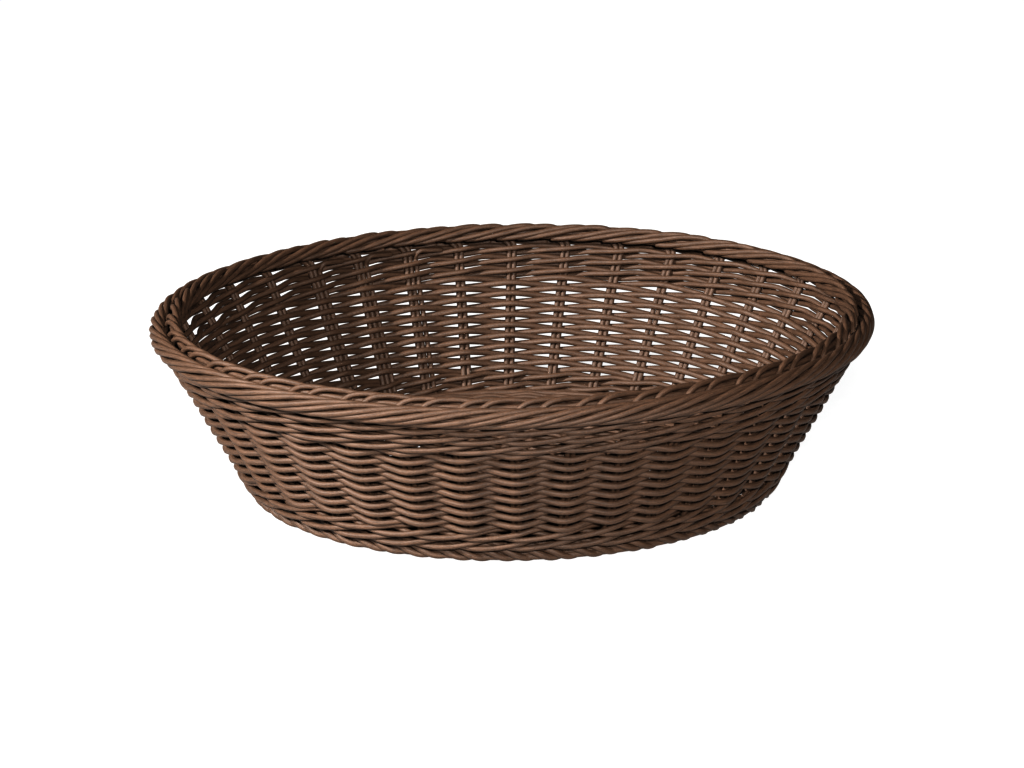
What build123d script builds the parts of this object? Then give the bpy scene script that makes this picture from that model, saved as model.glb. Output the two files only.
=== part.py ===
from build123d import *

import math
import os

# An oval fruit basket woven from round plastic rattan strands.
# Frame: origin at the centre of the foot on the table, +X along the long axis, +Z up, in millimetres.

# Weaving strands: each goes once round the basket, and its two ends meet at a stake pair.
STRAND_RADIUS = 1.65
STRAND_BEND_RADIUS = 8.0
STRAND_END_GAP = 1.0

# The wall leans outward in a straight line from the foot oval to the rim oval.
FOOT_HALF_LENGTH = 167.7
FOOT_HALF_WIDTH = 156.2
FOOT_LEVEL = 5.0
RIM_HALF_LENGTH = 225.0
RIM_HALF_WIDTH = 198.4
RIM_LEVEL = 106.0

# Stakes: upright rods in pairs, evenly spaced along the wall
STAKE_GROUPS = 36
STAKE_PHASE = 0.48
STAKE_RADIUS = 1.5
STAKE_PAIR_OFFSET = 2.0
STAKE_BOTTOM = 10.4
STAKE_TOP = 103.6

# Weaving strands run straight past each stake pair, this far to either side of the pair's middle
# and this far out from the middle of the wall.
FLAT_HALF = 5.0
SIDE_OFFSET = 3.6

# Plain weave: single strands, outside one stake pair and inside the next
WEAVE_ROWS = 18
WEAVE_PITCH = 3.3
WEAVE_BOTTOM = 26.2

# Wale rounds: three rods that twine together, each outside two stake pairs and inside the third
WALE_RODS = 3
WALE_PITCH = 6.8
WALE_TO_WEAVE = 5.0
WALE_STACK_HALF = 1.9
LOWER_WALE_ROUNDS = 2
UPPER_WALE_ROUNDS = 3

# Foot border: the rolled ring the basket stands on
FOOT_BORDER_WIDTH = 9.0
FOOT_BORDER_HEIGHT = 9.0
FOOT_BORDER_ROUNDING = 3.0

# Base mat: the woven floor, laid on the foot border and reaching almost to the wall
BASE_INSET = 2.0
BASE_BOTTOM = 9.3
BASE_THICKNESS = 3.5

# Rim border: an outer and an inner rolled rope with a groove between them
ROPE_WIDTH = 10.0
ROPE_GAP = 0.6
ROPE_ROUNDING = 4.6
OUTER_ROPE_BOTTOM = 105.0
OUTER_ROPE_HEIGHT = 11.5
INNER_ROPE_BOTTOM = 105.5
INNER_ROPE_HEIGHT = 13.0
ROPE_BEND_RADIUS = 100.0

PARTS_FOLDER = "parts"


def oval_point(index, level):
    """Point on the middle of the wall. Whole indexes are stake groups, evenly spaced along the rim oval."""
    turn = 2 * math.pi * (index + STAKE_PHASE) / STAKE_GROUPS
    flattening = (RIM_HALF_LENGTH - RIM_HALF_WIDTH) / (RIM_HALF_LENGTH + RIM_HALF_WIDTH)
    angle = turn + flattening / 2 * math.sin(2 * turn)
    rise = (level - FOOT_LEVEL) / (RIM_LEVEL - FOOT_LEVEL)
    half_length = FOOT_HALF_LENGTH + rise * (RIM_HALF_LENGTH - FOOT_HALF_LENGTH)
    half_width = FOOT_HALF_WIDTH + rise * (RIM_HALF_WIDTH - FOOT_HALF_WIDTH)
    point = Vector(half_length * math.cos(angle), half_width * math.sin(angle), level)
    along = Vector(-half_length * math.sin(angle), half_width * math.cos(angle), 0).normalized()
    return point, along


def wall_frame(index, level):
    """Point on the middle of the wall, with the unit vectors along it, up it and square out of it."""
    point, along = oval_point(index, level)
    up = (oval_point(index, RIM_LEVEL)[0] - oval_point(index, FOOT_LEVEL)[0]).normalized()
    return point, along, up, along.cross(up).normalized()


def make_strand(name, corners):
    """One round weaving strand, laid once round the basket. Its first two corners flank the pair where it ends."""
    before, after = corners[0], corners[1]
    middle = (before + after) / 2
    half_gap = (after - before).normalized() * (STRAND_END_GAP / 2)
    with BuildPart() as strand:
        with BuildLine() as path:
            FilletPolyline(
                middle + half_gap, *corners[1:], before, middle - half_gap, radius=STRAND_BEND_RADIUS
            )
        with BuildSketch(Plane(origin=path.line @ 0, z_dir=path.line % 0)):
            Circle(STRAND_RADIUS)
        sweep(path=path.line)
    save(strand.part, name)


def make_weave_row(row):
    """One row of plain weave, opposite in step to the rows above and below it."""
    level = WEAVE_BOTTOM + row * WEAVE_PITCH
    corners = []
    for index in range(STAKE_GROUPS):
        point, along, _, outward = wall_frame(index, level)
        side = SIDE_OFFSET if (index + row) % 2 == 0 else -SIDE_OFFSET
        corners.append(point - along * FLAT_HALF + outward * side)
        corners.append(point + along * FLAT_HALF + outward * side)
    make_strand(f"weave_row_{row + 1:02d}", corners)


def make_wale_rod(name, level, step):
    """One rod of a wale round: inside a stake pair, outside the next low down, outside the third high up."""
    outward_at = (-SIDE_OFFSET, SIDE_OFFSET, SIDE_OFFSET)
    up_at = (0, -WALE_STACK_HALF, WALE_STACK_HALF)
    # Half way to the next pair the rods cross, one above another.
    crossing_outward_at = (0, SIDE_OFFSET, 0)
    crossing_up_at = (-WALE_STACK_HALF, 0, WALE_STACK_HALF)
    corners = []
    for index in range(STAKE_GROUPS):
        turn = (index + step) % WALE_RODS
        point, along, up, outward = wall_frame(index, level)
        at_pair = point + outward * outward_at[turn] + up * up_at[turn]
        corners.append(at_pair - along * FLAT_HALF)
        corners.append(at_pair + along * FLAT_HALF)
        point, _, up, outward = wall_frame(index + 0.5, level)
        corners.append(point + outward * crossing_outward_at[turn] + up * crossing_up_at[turn])
    make_strand(name, corners)


def make_wale(prefix, first_level, rounds):
    """Wale rounds, one above another, each of three rods that start one stake pair apart."""
    for level_index in range(rounds):
        for rod in range(WALE_RODS):
            name = f"{prefix}_wale_{level_index + 1}_rod_{rod + 1}"
            make_wale_rod(name, first_level + level_index * WALE_PITCH, rod)


def make_stakes(name, along_offset):
    """One rod of every stake pair: straight round rods that lean with the wall."""
    with BuildPart() as stakes:
        for index in range(STAKE_GROUPS):
            foot, along, _, _ = wall_frame(index, STAKE_BOTTOM)
            lean = oval_point(index, STAKE_TOP)[0] - foot
            with BuildSketch(Plane(origin=foot + along * along_offset, z_dir=lean)):
                Circle(STAKE_RADIUS)
            extrude(amount=lean.length)
    save(stakes.part, name)


def make_rope(name, bottom, height, width, rounding, oval_level, offset):
    """One closed rolled border of rounded section, level, offset outward from the wall oval of oval_level."""
    middle = bottom + height / 2
    corners = []
    for index in range(STAKE_GROUPS):
        point, along = oval_point(index, oval_level)
        outward = along.cross(Vector(0, 0, 1))
        corners.append(Vector(point.X, point.Y, middle) + outward * offset)
    with BuildPart() as rope:
        with BuildLine() as path:
            FilletPolyline(*corners, radius=ROPE_BEND_RADIUS, close=True)
        heading = path.line % 0
        across = heading.cross(Vector(0, 0, 1))
        with BuildSketch(Plane(origin=path.line @ 0, x_dir=across, z_dir=heading)):
            RectangleRounded(width, height, rounding)
        sweep(path=path.line)
    save(rope.part, name)


def make_base_mat():
    """The woven oval floor, lying on the foot border inside the lowest wale round."""
    with BuildPart() as mat:
        with BuildSketch(Plane.XY.offset(BASE_BOTTOM)):
            Ellipse(FOOT_HALF_LENGTH - BASE_INSET, FOOT_HALF_WIDTH - BASE_INSET)
        extrude(amount=BASE_THICKNESS)
    save(mat.part, "base_mat")


def save(piece, name):
    """Label one finished piece and write it to its own file."""
    piece.label = name
    export_step(piece, f"{PARTS_FOLDER}/{name}.step")


os.makedirs(PARTS_FOLDER, exist_ok=True)

make_base_mat()
make_rope(
    "foot_border",
    bottom=0,
    height=FOOT_BORDER_HEIGHT,
    width=FOOT_BORDER_WIDTH,
    rounding=FOOT_BORDER_ROUNDING,
    oval_level=FOOT_LEVEL,
    offset=0,
)
make_stakes("stakes_left_of_pair", -STAKE_PAIR_OFFSET)
make_stakes("stakes_right_of_pair", STAKE_PAIR_OFFSET)

lower_wale_bottom = WEAVE_BOTTOM - WALE_TO_WEAVE - (LOWER_WALE_ROUNDS - 1) * WALE_PITCH
upper_wale_bottom = WEAVE_BOTTOM + (WEAVE_ROWS - 1) * WEAVE_PITCH + WALE_TO_WEAVE
make_wale("lower", lower_wale_bottom, LOWER_WALE_ROUNDS)
for weave_row in range(WEAVE_ROWS):
    make_weave_row(weave_row)
make_wale("upper", upper_wale_bottom, UPPER_WALE_ROUNDS)

rope_offset = (ROPE_WIDTH + ROPE_GAP) / 2
make_rope(
    "rim_outer_rope",
    bottom=OUTER_ROPE_BOTTOM,
    height=OUTER_ROPE_HEIGHT,
    width=ROPE_WIDTH,
    rounding=ROPE_ROUNDING,
    oval_level=RIM_LEVEL,
    offset=rope_offset,
)
make_rope(
    "rim_inner_rope",
    bottom=INNER_ROPE_BOTTOM,
    height=INNER_ROPE_HEIGHT,
    width=ROPE_WIDTH,
    rounding=ROPE_ROUNDING,
    oval_level=RIM_LEVEL,
    offset=-rope_offset,
)
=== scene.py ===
import math

import bpy
import numpy as np
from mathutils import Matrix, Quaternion, Vector


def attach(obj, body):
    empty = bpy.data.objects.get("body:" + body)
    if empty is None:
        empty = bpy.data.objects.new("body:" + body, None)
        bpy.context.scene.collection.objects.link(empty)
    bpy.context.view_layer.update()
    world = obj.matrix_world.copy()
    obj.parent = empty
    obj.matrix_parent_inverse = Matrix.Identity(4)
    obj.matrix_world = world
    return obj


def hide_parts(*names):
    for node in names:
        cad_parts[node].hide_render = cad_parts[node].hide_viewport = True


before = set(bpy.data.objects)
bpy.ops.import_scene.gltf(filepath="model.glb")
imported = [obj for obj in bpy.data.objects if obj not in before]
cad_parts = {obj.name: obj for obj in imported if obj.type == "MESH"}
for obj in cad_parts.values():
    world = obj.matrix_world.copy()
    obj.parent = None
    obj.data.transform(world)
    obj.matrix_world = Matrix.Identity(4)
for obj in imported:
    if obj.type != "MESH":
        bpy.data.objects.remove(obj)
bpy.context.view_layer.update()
RANDOM_SEED = 11
random = np.random.default_rng(RANDOM_SEED)

# ---------------------------------------------------------------- dimensions, in millimetres
# The wall, its rows and its numbers of stakes and rounds are as in the CAD. The strands and stakes are
# thicker than there, the two stakes of a pair are closer, and the upper wale is spaced a little wider.
FOOT_HALF_LENGTH = 167.7
FOOT_HALF_WIDTH = 156.2
FOOT_LEVEL = 5.0
RIM_HALF_LENGTH = 225.0
RIM_HALF_WIDTH = 198.4
RIM_LEVEL = 106.0
FLATTENING = (RIM_HALF_LENGTH - RIM_HALF_WIDTH) / (RIM_HALF_LENGTH + RIM_HALF_WIDTH)

STAKE_GROUPS = 36
STAKE_PHASE = 0.48
STAKE_RADIUS = 1.8
STAKE_PAIR_OFFSET = 1.72

STRAND_RADIUS = 2.07
SIDE_OFFSET = 3.6
WEAVE_ROWS = 18
WEAVE_PITCH = 3.3
WEAVE_BOTTOM = 26.2
WEAVE_SAG = 0.9

WALE_RODS = 3
WALE_PITCH = 6.8
UPPER_WALE_PITCH = 7.0
WALE_RADIUS = 1.82
WALE_TO_WEAVE = 5.0
WALE_STACK_HALF = 1.9
LOWER_WALE_ROUNDS = 2
UPPER_WALE_ROUNDS = 3

# Mesh detail: sides of a round strand, and points along it for each stake group
SIDES = 8
SAMPLES_PER_GROUP = 14

# One millimetre, in metres
MM = 0.001

# Step for reading a direction along the wall, in stake groups
GROUP_STEP = 0.01


# ---------------------------------------------------------------- places on the basket
def unit(vectors):
    """The same directions with length one."""
    return vectors / np.linalg.norm(vectors, axis=-1, keepdims=True)


def oval(groups, level, scale=1.0):
    """Points on the middle of the wall. Whole group numbers are stake pairs."""
    turn = 2 * math.pi * (groups + STAKE_PHASE) / STAKE_GROUPS
    angle = turn + FLATTENING / 2 * np.sin(2 * turn)
    rise = (level - FOOT_LEVEL) / (RIM_LEVEL - FOOT_LEVEL)
    half_length = FOOT_HALF_LENGTH + rise * (RIM_HALF_LENGTH - FOOT_HALF_LENGTH)
    half_width = FOOT_HALF_WIDTH + rise * (RIM_HALF_WIDTH - FOOT_HALF_WIDTH)
    x = half_length * np.cos(angle) * scale
    y = half_width * np.sin(angle) * scale
    return np.stack([x, y, level + 0 * x], axis=-1)


def wall_axes(groups, level):
    """Unit vectors along the wall, up it and square out of it."""
    along = unit(oval(groups + GROUP_STEP, level) - oval(groups - GROUP_STEP, level))
    up = unit(oval(groups, RIM_LEVEL) - oval(groups, FOOT_LEVEL))
    return along, up, unit(np.cross(along, up))


def wall_points(groups, level, outward, up_wall, sideways=0.0):
    """Points off the middle of the wall: outward and up the wall, and sideways along it."""
    along, up, out = wall_axes(groups, level)
    outward = np.broadcast_to(outward, np.shape(groups))[..., None]
    up_wall = np.broadcast_to(up_wall, np.shape(groups))[..., None]
    sideways = np.broadcast_to(sideways, np.shape(groups))[..., None]
    return oval(groups, level) + out * outward + up * up_wall + along * sideways


def ring_points(groups, oval_level, outward, height):
    """Points level with the table: outward from the wall oval of oval_level, at a height."""
    centre = oval(groups, oval_level)
    along = unit(oval(groups + GROUP_STEP, oval_level) - oval(groups - GROUP_STEP, oval_level))
    out = np.stack([along[..., 1], -along[..., 0], 0 * along[..., 0]], axis=-1)
    points = centre + out * np.broadcast_to(outward, np.shape(groups))[..., None]
    points[..., 2] = height
    return points


def through_keys(keys, places, closed):
    """Smooth curve (Catmull-Rom) through evenly spaced keys, read at fractional places."""
    keys = np.asarray(keys, float)
    count = len(keys)
    base = np.floor(places).astype(int)
    t = places - base

    def key(offset):
        index = (base + offset) % count if closed else np.clip(base + offset, 0, count - 1)
        return keys[index]

    if keys.ndim > 1:
        t = t[:, None]
    a, b, c, d = key(-1), key(0), key(1), key(2)
    return b + 0.5 * t * (c - a + t * (2 * a - 5 * b + 4 * c - d + t * (3 * (b - c) + d - a)))


# ---------------------------------------------------------------- strands
# Each strand's texture is shifted by up to this much along and across it, so that no two look the same.
TEXTURE_SHIFT_ALONG = 1000
TEXTURE_SHIFT_ACROSS = 50

# Rings of the small dome at an open strand's end, as angles up from the rim of the dome
DOME_ANGLES = np.radians([30, 60, 80])


class Strands:
    """Collects round strands and makes one mesh object of them."""

    def __init__(self):
        self.verts = []
        self.faces = []
        self.place = []
        self.count = 0

    def add(self, points, radius, reference=(0, 0, 1), closed=False):
        """One strand through points. reference is a direction that is never along the strand."""
        points = np.asarray(points, float)
        radius = np.broadcast_to(np.asarray(radius, float), (len(points),)).copy()
        if closed:
            tangent = unit(np.roll(points, -1, axis=0) - np.roll(points, 1, axis=0))
        else:
            points, radius = rounded_ends(points, radius)
            tangent = unit(np.gradient(points, axis=0))
        side = unit(np.cross(tangent, np.broadcast_to(reference, points.shape)))
        over = np.cross(side, tangent)
        angle = np.arange(SIDES) * 2 * math.pi / SIDES
        ring = np.cos(angle)[:, None] * side[:, None] + np.sin(angle)[:, None] * over[:, None]
        verts = points[:, None] + radius[:, None, None] * ring
        step = np.linalg.norm(np.diff(points, axis=0), axis=1)
        along = np.concatenate([[0], np.cumsum(step)])
        tone = random.random()

        # The material reads where each point is along its strand and round it.
        place = np.zeros(verts.shape)
        place[..., 0] = along[:, None] + TEXTURE_SHIFT_ALONG * tone
        place[..., 1] = np.cos(angle)[None, :] * STRAND_RADIUS
        place[..., 2] = np.sin(angle)[None, :] * STRAND_RADIUS + TEXTURE_SHIFT_ACROSS * tone

        rows = len(points) if closed else len(points) - 1
        i = np.arange(rows)[:, None]
        j = np.arange(SIDES)[None, :]
        here = (i * SIDES + j) + self.count
        near = (i * SIDES + (j + 1) % SIDES) + self.count
        i_next = (i + 1) % len(points)
        ahead = (i_next * SIDES + j) + self.count
        ahead_near = (i_next * SIDES + (j + 1) % SIDES) + self.count
        self.faces.extend(np.stack([here, near, ahead_near, ahead], axis=-1).reshape(-1, 4).tolist())
        if not closed:
            self.faces.append((np.arange(SIDES)[::-1] + self.count).tolist())
            self.faces.append((np.arange(SIDES) + (len(points) - 1) * SIDES + self.count).tolist())
        self.verts.append(verts.reshape(-1, 3))
        self.place.append(place.reshape(-1, 3))
        self.count += len(points) * SIDES

    def finish(self, name, material, nodes):
        """Make the object, ride it on the basket and let it stand for its CAD nodes."""
        verts = np.concatenate(self.verts) * MM
        mesh = bpy.data.meshes.new(name)
        mesh.from_pydata(verts.tolist(), [], self.faces)
        place = mesh.attributes.new("strand_place", "FLOAT_VECTOR", "POINT")
        place.data.foreach_set("vector", np.concatenate(self.place).ravel())
        mesh.polygons.foreach_set("use_smooth", [True] * len(mesh.polygons))
        mesh.materials.append(material)
        mesh.update()
        piece = bpy.data.objects.new(name, mesh)
        bpy.context.scene.collection.objects.link(piece)
        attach(piece, "root")
        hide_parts(*nodes)


def rounded_ends(points, radius):
    """Close an open strand with a small dome at each end."""
    first = unit(points[0] - points[1])
    last = unit(points[-1] - points[-2])
    rise = np.sin(DOME_ANGLES)
    narrow = np.cos(DOME_ANGLES)
    head = points[0] + first * (rise[::-1, None] * radius[0])
    tail = points[-1] + last * (rise[:, None] * radius[-1])
    points = np.concatenate([head, points, tail])
    radius = np.concatenate([narrow[::-1] * radius[0], radius, narrow * radius[-1]])
    return points, radius


# ---------------------------------------------------------------- material
def rattan_material(name, dark, light):
    """Round plastic rattan: matt brown with fine streaks along the strand, speckle and a little gloss."""
    material = bpy.data.materials.new(name)
    material.use_nodes = True
    nodes = material.node_tree.nodes
    links = material.node_tree.links
    shader = nodes["Principled BSDF"]
    shader.inputs["IOR"].default_value = 1.49
    shader.inputs["Specular IOR Level"].default_value = 0.35

    place = nodes.new("ShaderNodeAttribute")
    place.attribute_name = "strand_place"

    streaks = nodes.new("ShaderNodeMapping")
    streaks.inputs["Scale"].default_value = (0.12, 1.6, 1.6)
    links.new(place.outputs["Vector"], streaks.inputs["Vector"])
    streak_noise = nodes.new("ShaderNodeTexNoise")
    streak_noise.inputs["Scale"].default_value = 1.0
    streak_noise.inputs["Detail"].default_value = 4.0
    links.new(streaks.outputs["Vector"], streak_noise.inputs["Vector"])

    speckle = nodes.new("ShaderNodeTexNoise")
    speckle.inputs["Scale"].default_value = 1.2
    speckle.inputs["Detail"].default_value = 3.0
    speckle.inputs["Roughness"].default_value = 0.7
    links.new(place.outputs["Vector"], speckle.inputs["Vector"])

    blend = nodes.new("ShaderNodeMath")
    blend.operation = "ADD"
    links.new(streak_noise.outputs["Fac"], blend.inputs[0])
    links.new(speckle.outputs["Fac"], blend.inputs[1])
    ramp = nodes.new("ShaderNodeMapRange")
    ramp.inputs["From Min"].default_value = 0.7
    ramp.inputs["From Max"].default_value = 1.3
    links.new(blend.outputs["Value"], ramp.inputs["Value"])
    colour = nodes.new("ShaderNodeMix")
    colour.data_type = "RGBA"
    colour.inputs["A"].default_value = (*dark, 1)
    colour.inputs["B"].default_value = (*light, 1)
    links.new(ramp.outputs["Result"], colour.inputs["Factor"])
    links.new(colour.outputs["Result"], shader.inputs["Base Color"])

    rough = nodes.new("ShaderNodeMapRange")
    rough.inputs["To Min"].default_value = 0.48
    rough.inputs["To Max"].default_value = 0.66
    links.new(speckle.outputs["Fac"], rough.inputs["Value"])
    links.new(rough.outputs["Result"], shader.inputs["Roughness"])

    bump = nodes.new("ShaderNodeBump")
    bump.inputs["Strength"].default_value = 0.8
    bump.inputs["Distance"].default_value = 0.0003
    links.new(blend.outputs["Value"], bump.inputs["Height"])
    links.new(bump.outputs["Normal"], shader.inputs["Normal"])
    return material


DARK_BROWN = (0.034, 0.0202, 0.0125)
LIGHT_BROWN = (0.093, 0.0540, 0.0335)
weave_material = rattan_material("weave_rattan", DARK_BROWN, LIGHT_BROWN)
stake_material = rattan_material("stake_rattan", DARK_BROWN, LIGHT_BROWN)
border_material = rattan_material("border_rattan", DARK_BROWN, LIGHT_BROWN)
base_material = rattan_material("base_rattan", DARK_BROWN, LIGHT_BROWN)

# ---------------------------------------------------------------- woven wall
ring_groups = np.arange(STAKE_GROUPS * SAMPLES_PER_GROUP) / SAMPLES_PER_GROUP
HALF_STEPS = 2 * STAKE_GROUPS

# Hand work is a little uneven. The rows rise and fall together, and each strand has errors of its own.
SHARED_RISE = 0.35
OUTWARD_SHARE_ERROR = 0.04
OUTWARD_ERROR = 0.08
UP_ERROR = 0.10
unevenness = random.normal(0, 1, HALF_STEPS)
unevenness = (np.roll(unevenness, 1) + unevenness + np.roll(unevenness, -1)) / 3 * SHARED_RISE

# A wale rod's turns at three stake pairs in a row (inside, outside low down, outside high up) and half way
# from each to the next. The values for up are in parts of WALE_STACK_HALF.
WALE_BULGE = 1.12 * SIDE_OFFSET
WALE_OUTWARD_AT_PAIR = (-SIDE_OFFSET, SIDE_OFFSET, SIDE_OFFSET)
WALE_OUTWARD_BETWEEN = (0, WALE_BULGE, 0)
WALE_UP_AT_PAIR = (0.0, -1.3, 0.7)
WALE_UP_BETWEEN = (-0.6, -0.75, 1.3)


def ring_strand(outward_keys, up_keys, level):
    """Closed strand through keys at every stake pair and half way between."""
    outward_keys = np.asarray(outward_keys) * (1 + random.normal(0, OUTWARD_SHARE_ERROR, HALF_STEPS))
    outward_keys = outward_keys + random.normal(0, OUTWARD_ERROR, HALF_STEPS)
    up_keys = np.asarray(up_keys) + unevenness + random.normal(0, UP_ERROR, HALF_STEPS)
    places = ring_groups * 2
    outward = through_keys(outward_keys, places, True)
    up = through_keys(up_keys, places, True)
    return wall_points(ring_groups, level, outward, up)


def weave_row(row):
    """One row of plain weave. It sags where it is outside and rises where it is inside."""
    side = np.where((np.arange(STAKE_GROUPS) + row) % 2 == 0, 1.0, -1.0)
    outward = np.zeros(HALF_STEPS)
    outward[0::2] = side * SIDE_OFFSET
    up = np.zeros(HALF_STEPS)
    up[0::2] = -side * WEAVE_SAG
    strands = Strands()
    strands.add(ring_strand(outward, up, WEAVE_BOTTOM + row * WEAVE_PITCH), STRAND_RADIUS, closed=True)
    number = f"{row + 1:02d}"
    strands.finish(f"weave_row_{number}_strand", weave_material, [f"weave_row_{number}"])


def wale_rod(name, level, step):
    """One rod of a wale round."""
    turn = (np.arange(STAKE_GROUPS) + step) % WALE_RODS
    outward = np.zeros(HALF_STEPS)
    outward[0::2] = np.choose(turn, WALE_OUTWARD_AT_PAIR)
    outward[1::2] = np.choose(turn, WALE_OUTWARD_BETWEEN)
    up = np.zeros(HALF_STEPS)
    up[0::2] = WALE_STACK_HALF * np.choose(turn, WALE_UP_AT_PAIR)
    up[1::2] = WALE_STACK_HALF * np.choose(turn, WALE_UP_BETWEEN)
    strands = Strands()
    strands.add(ring_strand(outward, up, level), WALE_RADIUS, closed=True)
    strands.finish(f"{name}_strand", weave_material, [name])


def wale(prefix, first_level, rounds, pitch):
    """Wale rounds, one above another, each of three rods that start one stake pair apart."""
    for round_index in range(rounds):
        for rod in range(WALE_RODS):
            name = f"{prefix}_wale_{round_index + 1}_rod_{rod + 1}"
            wale_rod(name, first_level + round_index * pitch, rod)


lower_wale_bottom = WEAVE_BOTTOM - WALE_TO_WEAVE - (LOWER_WALE_ROUNDS - 1) * WALE_PITCH
wale("lower", lower_wale_bottom, LOWER_WALE_ROUNDS, WALE_PITCH)
for row in range(WEAVE_ROWS):
    weave_row(row)
upper_wale_bottom = WEAVE_BOTTOM + (WEAVE_ROWS - 1) * WEAVE_PITCH + WALE_TO_WEAVE
wale("upper", upper_wale_bottom, UPPER_WALE_ROUNDS, UPPER_WALE_PITCH)

# ---------------------------------------------------------------- stakes
STAKE_FOOT = 6.0
STAKE_BEND = 103.0
STAKE_HEAD = 110.0
STAKE_LEAN_LEFT = 6.0
STAKE_LEAN_RIGHT = 9.0
STAKE_LEAN_CURVE = 1.5
STEM_SAMPLES = 34
BEND_SAMPLES = 6

# A stake wanders sideways along a smooth curve through random keys.
STAKE_WANDER = 0.12
WANDER_KEYS = 5
WANDER_END = 3.99

# Ends of the upper wale rods: each comes down beside a stake pair as a stem, under a hook that turns inward
WALE_END_GROUPS = (9, 10, 11)
WALE_END_BESIDE = -3 * STAKE_PAIR_OFFSET
WALE_END_BOTTOM = 14.0
WALE_END_TOP = 102.5
WALE_END_INSIDE = 0.8
WALE_END_SAMPLES = 32
HOOK_RADIUS = 4.0
HOOK_FIRST_ANGLE = 15
HOOK_LAST_ANGLE = 90
HOOK_START_INSIDE = 1.5
HOOK_REACH_INSIDE = 3.5
HOOK_RUN_START = 2.0
HOOK_RUN_END = 14.0
HOOK_RUN_FALL = 0.05
HOOK_RUN_OUTWARD = 0.1
HOOK_SAMPLES = 6


def place_at(group, level, outward, sideways):
    """One point near a stake group: outward from the middle of the wall, and sideways along it."""
    return wall_points(np.array([float(group)]), level, outward, 0.0, sideways)[0]


def square_out(group):
    """Direction square out of the wall at a stake group."""
    return wall_axes(np.array([float(group)]), RIM_LEVEL)[2][0]


def stake_line(group, sideways, lean):
    """A rod that follows the wall up and leans over where it goes into the rim border."""
    stem_levels = np.linspace(STAKE_FOOT, STAKE_BEND, STEM_SAMPLES)
    bend_levels = np.linspace(STAKE_BEND, STAKE_HEAD, BEND_SAMPLES)[1:]
    levels = np.concatenate([stem_levels, bend_levels])
    over = np.clip((levels - STAKE_BEND) / (STAKE_HEAD - STAKE_BEND), 0, 1)
    wander = random.normal(0, STAKE_WANDER, WANDER_KEYS)
    drift = through_keys(wander, np.linspace(0, WANDER_END, len(levels)), False)
    points = []
    for level, part, shift in zip(levels, over, drift):
        points.append(place_at(group, level, 0.0, sideways + shift + lean * part**STAKE_LEAN_CURVE))
    return np.array(points)


def wale_end_line(group):
    """The end of an upper wale rod: it turns down and is tucked beside the stake pair."""
    stem_top = WALE_END_TOP - HOOK_RADIUS
    points = []
    for level in np.linspace(WALE_END_BOTTOM, stem_top, WALE_END_SAMPLES):
        points.append(place_at(group, level, -WALE_END_INSIDE, WALE_END_BESIDE))
    for angle in np.radians(np.linspace(HOOK_FIRST_ANGLE, HOOK_LAST_ANGLE, HOOK_SAMPLES)):
        level = stem_top + HOOK_RADIUS * math.sin(angle)
        inward = HOOK_START_INSIDE + HOOK_REACH_INSIDE * math.sin(angle)
        sideways = WALE_END_BESIDE - HOOK_RADIUS * (1 - math.cos(angle))
        points.append(place_at(group, level, -inward, sideways))
    for distance in np.linspace(HOOK_RUN_START, HOOK_RUN_END, HOOK_SAMPLES):
        level = WALE_END_TOP - distance * HOOK_RUN_FALL
        inward = HOOK_START_INSIDE + HOOK_REACH_INSIDE - distance * HOOK_RUN_OUTWARD
        sideways = WALE_END_BESIDE - HOOK_RADIUS - distance
        points.append(place_at(group, level, -inward, sideways))
    return np.array(points)


def stakes(name, sideways, lean, wale_end_groups):
    """One rod of every stake pair, with the wale ends that lie beside some of them."""
    strands = Strands()
    for group in range(STAKE_GROUPS):
        strands.add(stake_line(group, sideways, lean), STAKE_RADIUS, square_out(group))
    for group in wale_end_groups:
        strands.add(wale_end_line(group), STAKE_RADIUS, square_out(group))
    strands.finish(f"{name}_rods", stake_material, [name])


stakes("stakes_left_of_pair", -STAKE_PAIR_OFFSET, STAKE_LEAN_LEFT, ())
stakes("stakes_right_of_pair", STAKE_PAIR_OFFSET, STAKE_LEAN_RIGHT, WALE_END_GROUPS)


# ---------------------------------------------------------------- rolled borders
RIM_STRAND_RADIUS = 1.85
FOOT_STRAND_RADIUS = 2.1

# Unevenness of the border strands: where they start, in stake groups, where they lie and how thick they are
START_ERROR = 0.015
PLACE_ERROR = 0.12
THICKNESS_ERROR = 0.02


def arc_path(centre, half_size, first_angle, last_angle, groups_long):
    """Path of one border strand round an oval section: group, outward and height at a share of its length."""

    def path(share):
        angle = np.radians(first_angle + (last_angle - first_angle) * share)
        outward = centre[0] + half_size[0] * np.cos(angle)
        height = centre[1] + half_size[1] * np.sin(angle)
        return np.stack([groups_long * share, outward, height], axis=-1)

    return path


def keyed_path(keys):
    """Path of one border strand through keys of group, outward and height."""

    def path(share):
        return through_keys(keys, share * (len(keys) - 1), False)

    return path


def rope(name, node, oval_level, radius, path, samples, starts, cores):
    """A rolled border: strands that start at given parts of a stake group and climb round plain core rods."""
    strands = Strands()
    share = np.linspace(0, 1, samples)
    for group in range(STAKE_GROUPS):
        for start in starts:
            way = path(share)
            way[:, 0] += group + start + random.normal(0, START_ERROR)
            way[:, 1:] += random.normal(0, PLACE_ERROR, 2)
            points = ring_points(way[:, 0], oval_level, way[:, 1], way[:, 2])
            strands.add(points, radius * (1 + random.normal(0, THICKNESS_ERROR)))
    for outward, height in cores:
        strands.add(ring_points(ring_groups, oval_level, outward, height), radius, closed=True)
    strands.finish(name, border_material, [node])


# Sections of the borders, as outward and height. Outward is from the wall's oval at the border's own level.
OUTER_ROPE_CENTRE = (5.2, 109.2)
OUTER_ROPE_HALF_SIZE = (3.8, 5.0)
OUTER_ROPE_GROUPS_LONG = 3.0
OUTER_ROPE_CORES = [(5.2, 111.0), (5.2, 107.4)]
OUTER_ROPE_STARTS = (0, 0.42)

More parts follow.
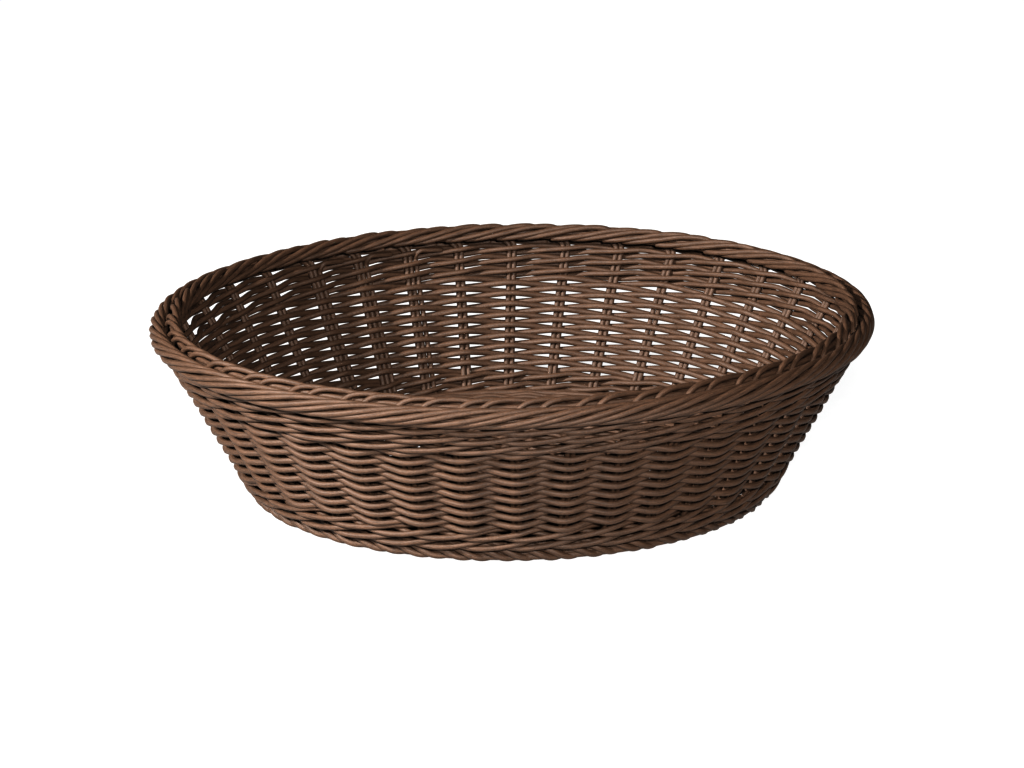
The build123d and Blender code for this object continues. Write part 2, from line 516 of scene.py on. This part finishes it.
# The inner rope's strands rise out of the groove, arch over and go down the inside. Each key is the distance
# along the rim from the strand's start, in stake groups, then outward and height.
INNER_ROPE_KEYS = [
    (0.00, -0.4, 109.5),
    (0.10, -1.2, 114.0),
    (0.28, -2.6, 117.3),
    (0.54, -4.8, 117.9),
    (0.84, -6.8, 116.7),
    (1.12, -8.2, 114.6),
    (1.40, -8.5, 112.6),
    (1.66, -7.8, 110.9),
    (1.88, -6.0, 110.0),
]
INNER_ROPE_CORES = [(-4.2, 113.4), (-4.8, 110.8)]
INNER_ROPE_STARTS = (0, 0.38)

FOOT_ROPE_CENTRE = (0.0, 5.8)
FOOT_ROPE_HALF_SIZE = (3.2, 3.2)
FOOT_ROPE_GROUPS_LONG = 1.15
FOOT_ROPE_CORES = [FOOT_ROPE_CENTRE, (0.6, 3.4), (1.2, 8.8), (2.4, 12.2)]
FOOT_ROPE_STARTS = (0, 0.4)

rope(
    "rim_outer_strands",
    "rim_outer_rope",
    oval_level=RIM_LEVEL,
    radius=RIM_STRAND_RADIUS,
    path=arc_path(OUTER_ROPE_CENTRE, OUTER_ROPE_HALF_SIZE, -125, 165, OUTER_ROPE_GROUPS_LONG),
    samples=44,
    starts=OUTER_ROPE_STARTS,
    cores=OUTER_ROPE_CORES,
)
rope(
    "rim_inner_strands",
    "rim_inner_rope",
    oval_level=RIM_LEVEL,
    radius=RIM_STRAND_RADIUS,
    path=keyed_path(INNER_ROPE_KEYS),
    samples=40,
    starts=INNER_ROPE_STARTS,
    cores=INNER_ROPE_CORES,
)
rope(
    "foot_border_strands",
    "foot_border",
    oval_level=FOOT_LEVEL,
    radius=FOOT_STRAND_RADIUS,
    path=arc_path(FOOT_ROPE_CENTRE, FOOT_ROPE_HALF_SIZE, 120, -150, FOOT_ROPE_GROUPS_LONG),
    samples=30,
    starts=FOOT_ROPE_STARTS,
    cores=FOOT_ROPE_CORES,
)

# ---------------------------------------------------------------- woven base
BASE_LEVEL = 11.0
BASE_STRAND = 1.55
STICK_RADIUS = 0.9 * BASE_STRAND
STICKS_EACH_WAY = 9
STICK_SPACING = 2.1 * BASE_STRAND
STICK_SAMPLES = 24
QUARTERS = 4
CROSS_STRAIGHT = 10.0
CROSS_REACH = 20.0
FAN_BEND = 14.0

# Sticks of the two directions lie one above the other in the cross, and come level further out.
LAYER_FADE_START = 16.0
LAYER_FADE_LENGTH = 14.0

BASE_FIRST_ROUND = 26.0
BASE_ROUND_PITCH = 3.5
BASE_EDGE = 0.993
BASE_EDGE_RISE = 1.2

# The first rounds go over and under bundles of sticks, and the later ones over and under single sticks.
BUNDLED_ROUNDS = 3
STICKS_IN_BUNDLE = 3


def base_stick(quarter, stick):
    """Half a base stick: straight through the centre cross, then fanned out to its place on the foot oval."""
    from_middle = stick - STICKS_EACH_WAY // 2
    group = quarter * STICKS_EACH_WAY + from_middle
    edge = oval(np.array([group - STAKE_PHASE]), FOOT_LEVEL, BASE_EDGE)[0]
    angle = quarter * math.pi / 2
    heading = np.array([round(math.cos(angle)), round(math.sin(angle)), 0.0])
    beside = np.array([-heading[1], heading[0], 0.0])
    offset = beside * from_middle * STICK_SPACING
    corner = heading * CROSS_REACH + offset
    bend = corner + heading * FAN_BEND
    t = np.linspace(0, 1, STICK_SAMPLES)[:, None]
    fan = (1 - t) ** 2 * corner + 2 * t * (1 - t) * bend + t**2 * edge
    line = np.concatenate([np.array([offset, offset + heading * CROSS_STRAIGHT]), fan])
    layer = -1 if quarter % 2 else 1
    far = np.clip((np.linalg.norm(line[:, :2], axis=1) - LAYER_FADE_START) / LAYER_FADE_LENGTH, 0, 1)
    line[:, 2] = BASE_LEVEL + layer * BASE_STRAND * (1 - far)
    return line


def base_round(round_index):
    """One woven round of the base."""
    bundle = STICKS_IN_BUNDLE if round_index < BUNDLED_ROUNDS else 1
    over = np.where((np.arange(STAKE_GROUPS) // bundle + round_index) % 2 == 0, 1.0, -1.0)
    keys = np.zeros(HALF_STEPS)
    keys[0::2] = over
    keys[1::2] = (over + np.roll(over, -1)) / 2
    lift = through_keys(keys, ring_groups * 2, True)
    share = (BASE_FIRST_ROUND + round_index * BASE_ROUND_PITCH) / (FOOT_HALF_LENGTH * BASE_EDGE)
    points = oval(ring_groups - STAKE_PHASE, FOOT_LEVEL, BASE_EDGE) * share
    points[:, 2] = BASE_LEVEL + lift * BASE_STRAND
    return points


base = Strands()
for quarter in range(QUARTERS):
    for stick in range(STICKS_EACH_WAY):
        base.add(base_stick(quarter, stick), STICK_RADIUS)
last_round = int((FOOT_HALF_LENGTH * BASE_EDGE - BASE_FIRST_ROUND) / BASE_ROUND_PITCH)
for round_index in range(last_round + 1):
    base.add(base_round(round_index), BASE_STRAND, closed=True)
edge_round = oval(ring_groups, FOOT_LEVEL, BASE_EDGE)
edge_round[:, 2] = BASE_LEVEL + BASE_EDGE_RISE
base.add(edge_round, FOOT_STRAND_RADIUS, closed=True)
base.finish("base_weave", base_material, ["base_mat"])

# ---------------------------------------------------------------- floor, light and camera, in metres
TURN = math.radians(16.4)
ELEVATION = math.radians(17.4)
ROLL = math.radians(0.3)
DISTANCE = 3.6
TARGET_SIDE = -0.0005
TARGET_HEIGHT = 0.0671
LENS = 195.4
SENSOR_WIDTH = 36
CLIP_END = 50

FLOOR_HALF = 9
FLOOR_GREY = 0.08
FLOOR_GLOW = 0.95
WORLD_STRENGTH = 0.04
LIT_PLACE = Vector((0, 0, 0.06))
VIEW_GAMMA = 0.62


def seen(x, y, z):
    """A place given right, away and up as the camera sees it, in the basket's frame."""
    return Vector((x * math.cos(TURN) + y * math.sin(TURN), -x * math.sin(TURN) + y * math.cos(TURN), z))


def add_floor():
    """A plain white floor. Its glow keeps the shadows on it faint."""
    half = FLOOR_HALF
    mesh = bpy.data.meshes.new("floor")
    corners = [(-half, -half, 0), (half, -half, 0), (half, half, 0), (-half, half, 0)]
    mesh.from_pydata(corners, [], [(0, 1, 2, 3)])
    floor = bpy.data.objects.new("floor", mesh)
    bpy.context.scene.collection.objects.link(floor)
    material = bpy.data.materials.new("floor_white")
    material.use_nodes = True
    shader = material.node_tree.nodes["Principled BSDF"]
    shader.inputs["Base Color"].default_value = (FLOOR_GREY, FLOOR_GREY, FLOOR_GREY, 1)
    shader.inputs["Roughness"].default_value = 0.6
    shader.inputs["Emission Color"].default_value = (1, 1, 1, 1)
    shader.inputs["Emission Strength"].default_value = FLOOR_GLOW
    mesh.materials.append(material)


def add_world():
    """Faint even light from all round."""
    world = bpy.data.worlds.new("studio")
    world.use_nodes = True
    world.node_tree.nodes["Background"].inputs["Color"].default_value = (1, 1, 1, 1)
    world.node_tree.nodes["Background"].inputs["Strength"].default_value = WORLD_STRENGTH
    bpy.context.scene.world = world


def area_light(name, place, size, power):
    """A round soft light aimed at the basket."""
    light = bpy.data.lights.new(name, "AREA")
    light.shape = "DISK"
    light.size = size
    light.energy = power
    lamp = bpy.data.objects.new(name, light)
    lamp.location = place
    lamp.rotation_euler = (LIT_PLACE - place).to_track_quat("-Z", "Y").to_euler()
    bpy.context.scene.collection.objects.link(lamp)


def add_camera():
    """A long lens at the photo's angle, aimed near the middle of the basket and rolled a little."""
    data = bpy.data.cameras.new("camera")
    data.sensor_width = SENSOR_WIDTH
    data.lens = LENS
    data.clip_end = CLIP_END
    camera = bpy.data.objects.new("camera", data)
    target = seen(TARGET_SIDE, 0, TARGET_HEIGHT)
    back = DISTANCE * math.cos(ELEVATION)
    rise = DISTANCE * math.sin(ELEVATION)
    camera.location = seen(TARGET_SIDE, -back, TARGET_HEIGHT + rise)
    facing = (target - camera.location).to_track_quat("-Z", "Y") @ Quaternion((0, 0, 1), ROLL)
    camera.rotation_euler = facing.to_euler()
    bpy.context.scene.collection.objects.link(camera)
    bpy.context.scene.camera = camera


add_floor()
add_world()
area_light("key", seen(-1.6, -0.9, 1.1), size=0.3, power=170)
area_light("front", seen(0.2, -2.0, 1.0), size=0.25, power=115)
add_camera()

bpy.context.scene.view_settings.view_transform = "Standard"
bpy.context.scene.view_settings.gamma = VIEW_GAMMA
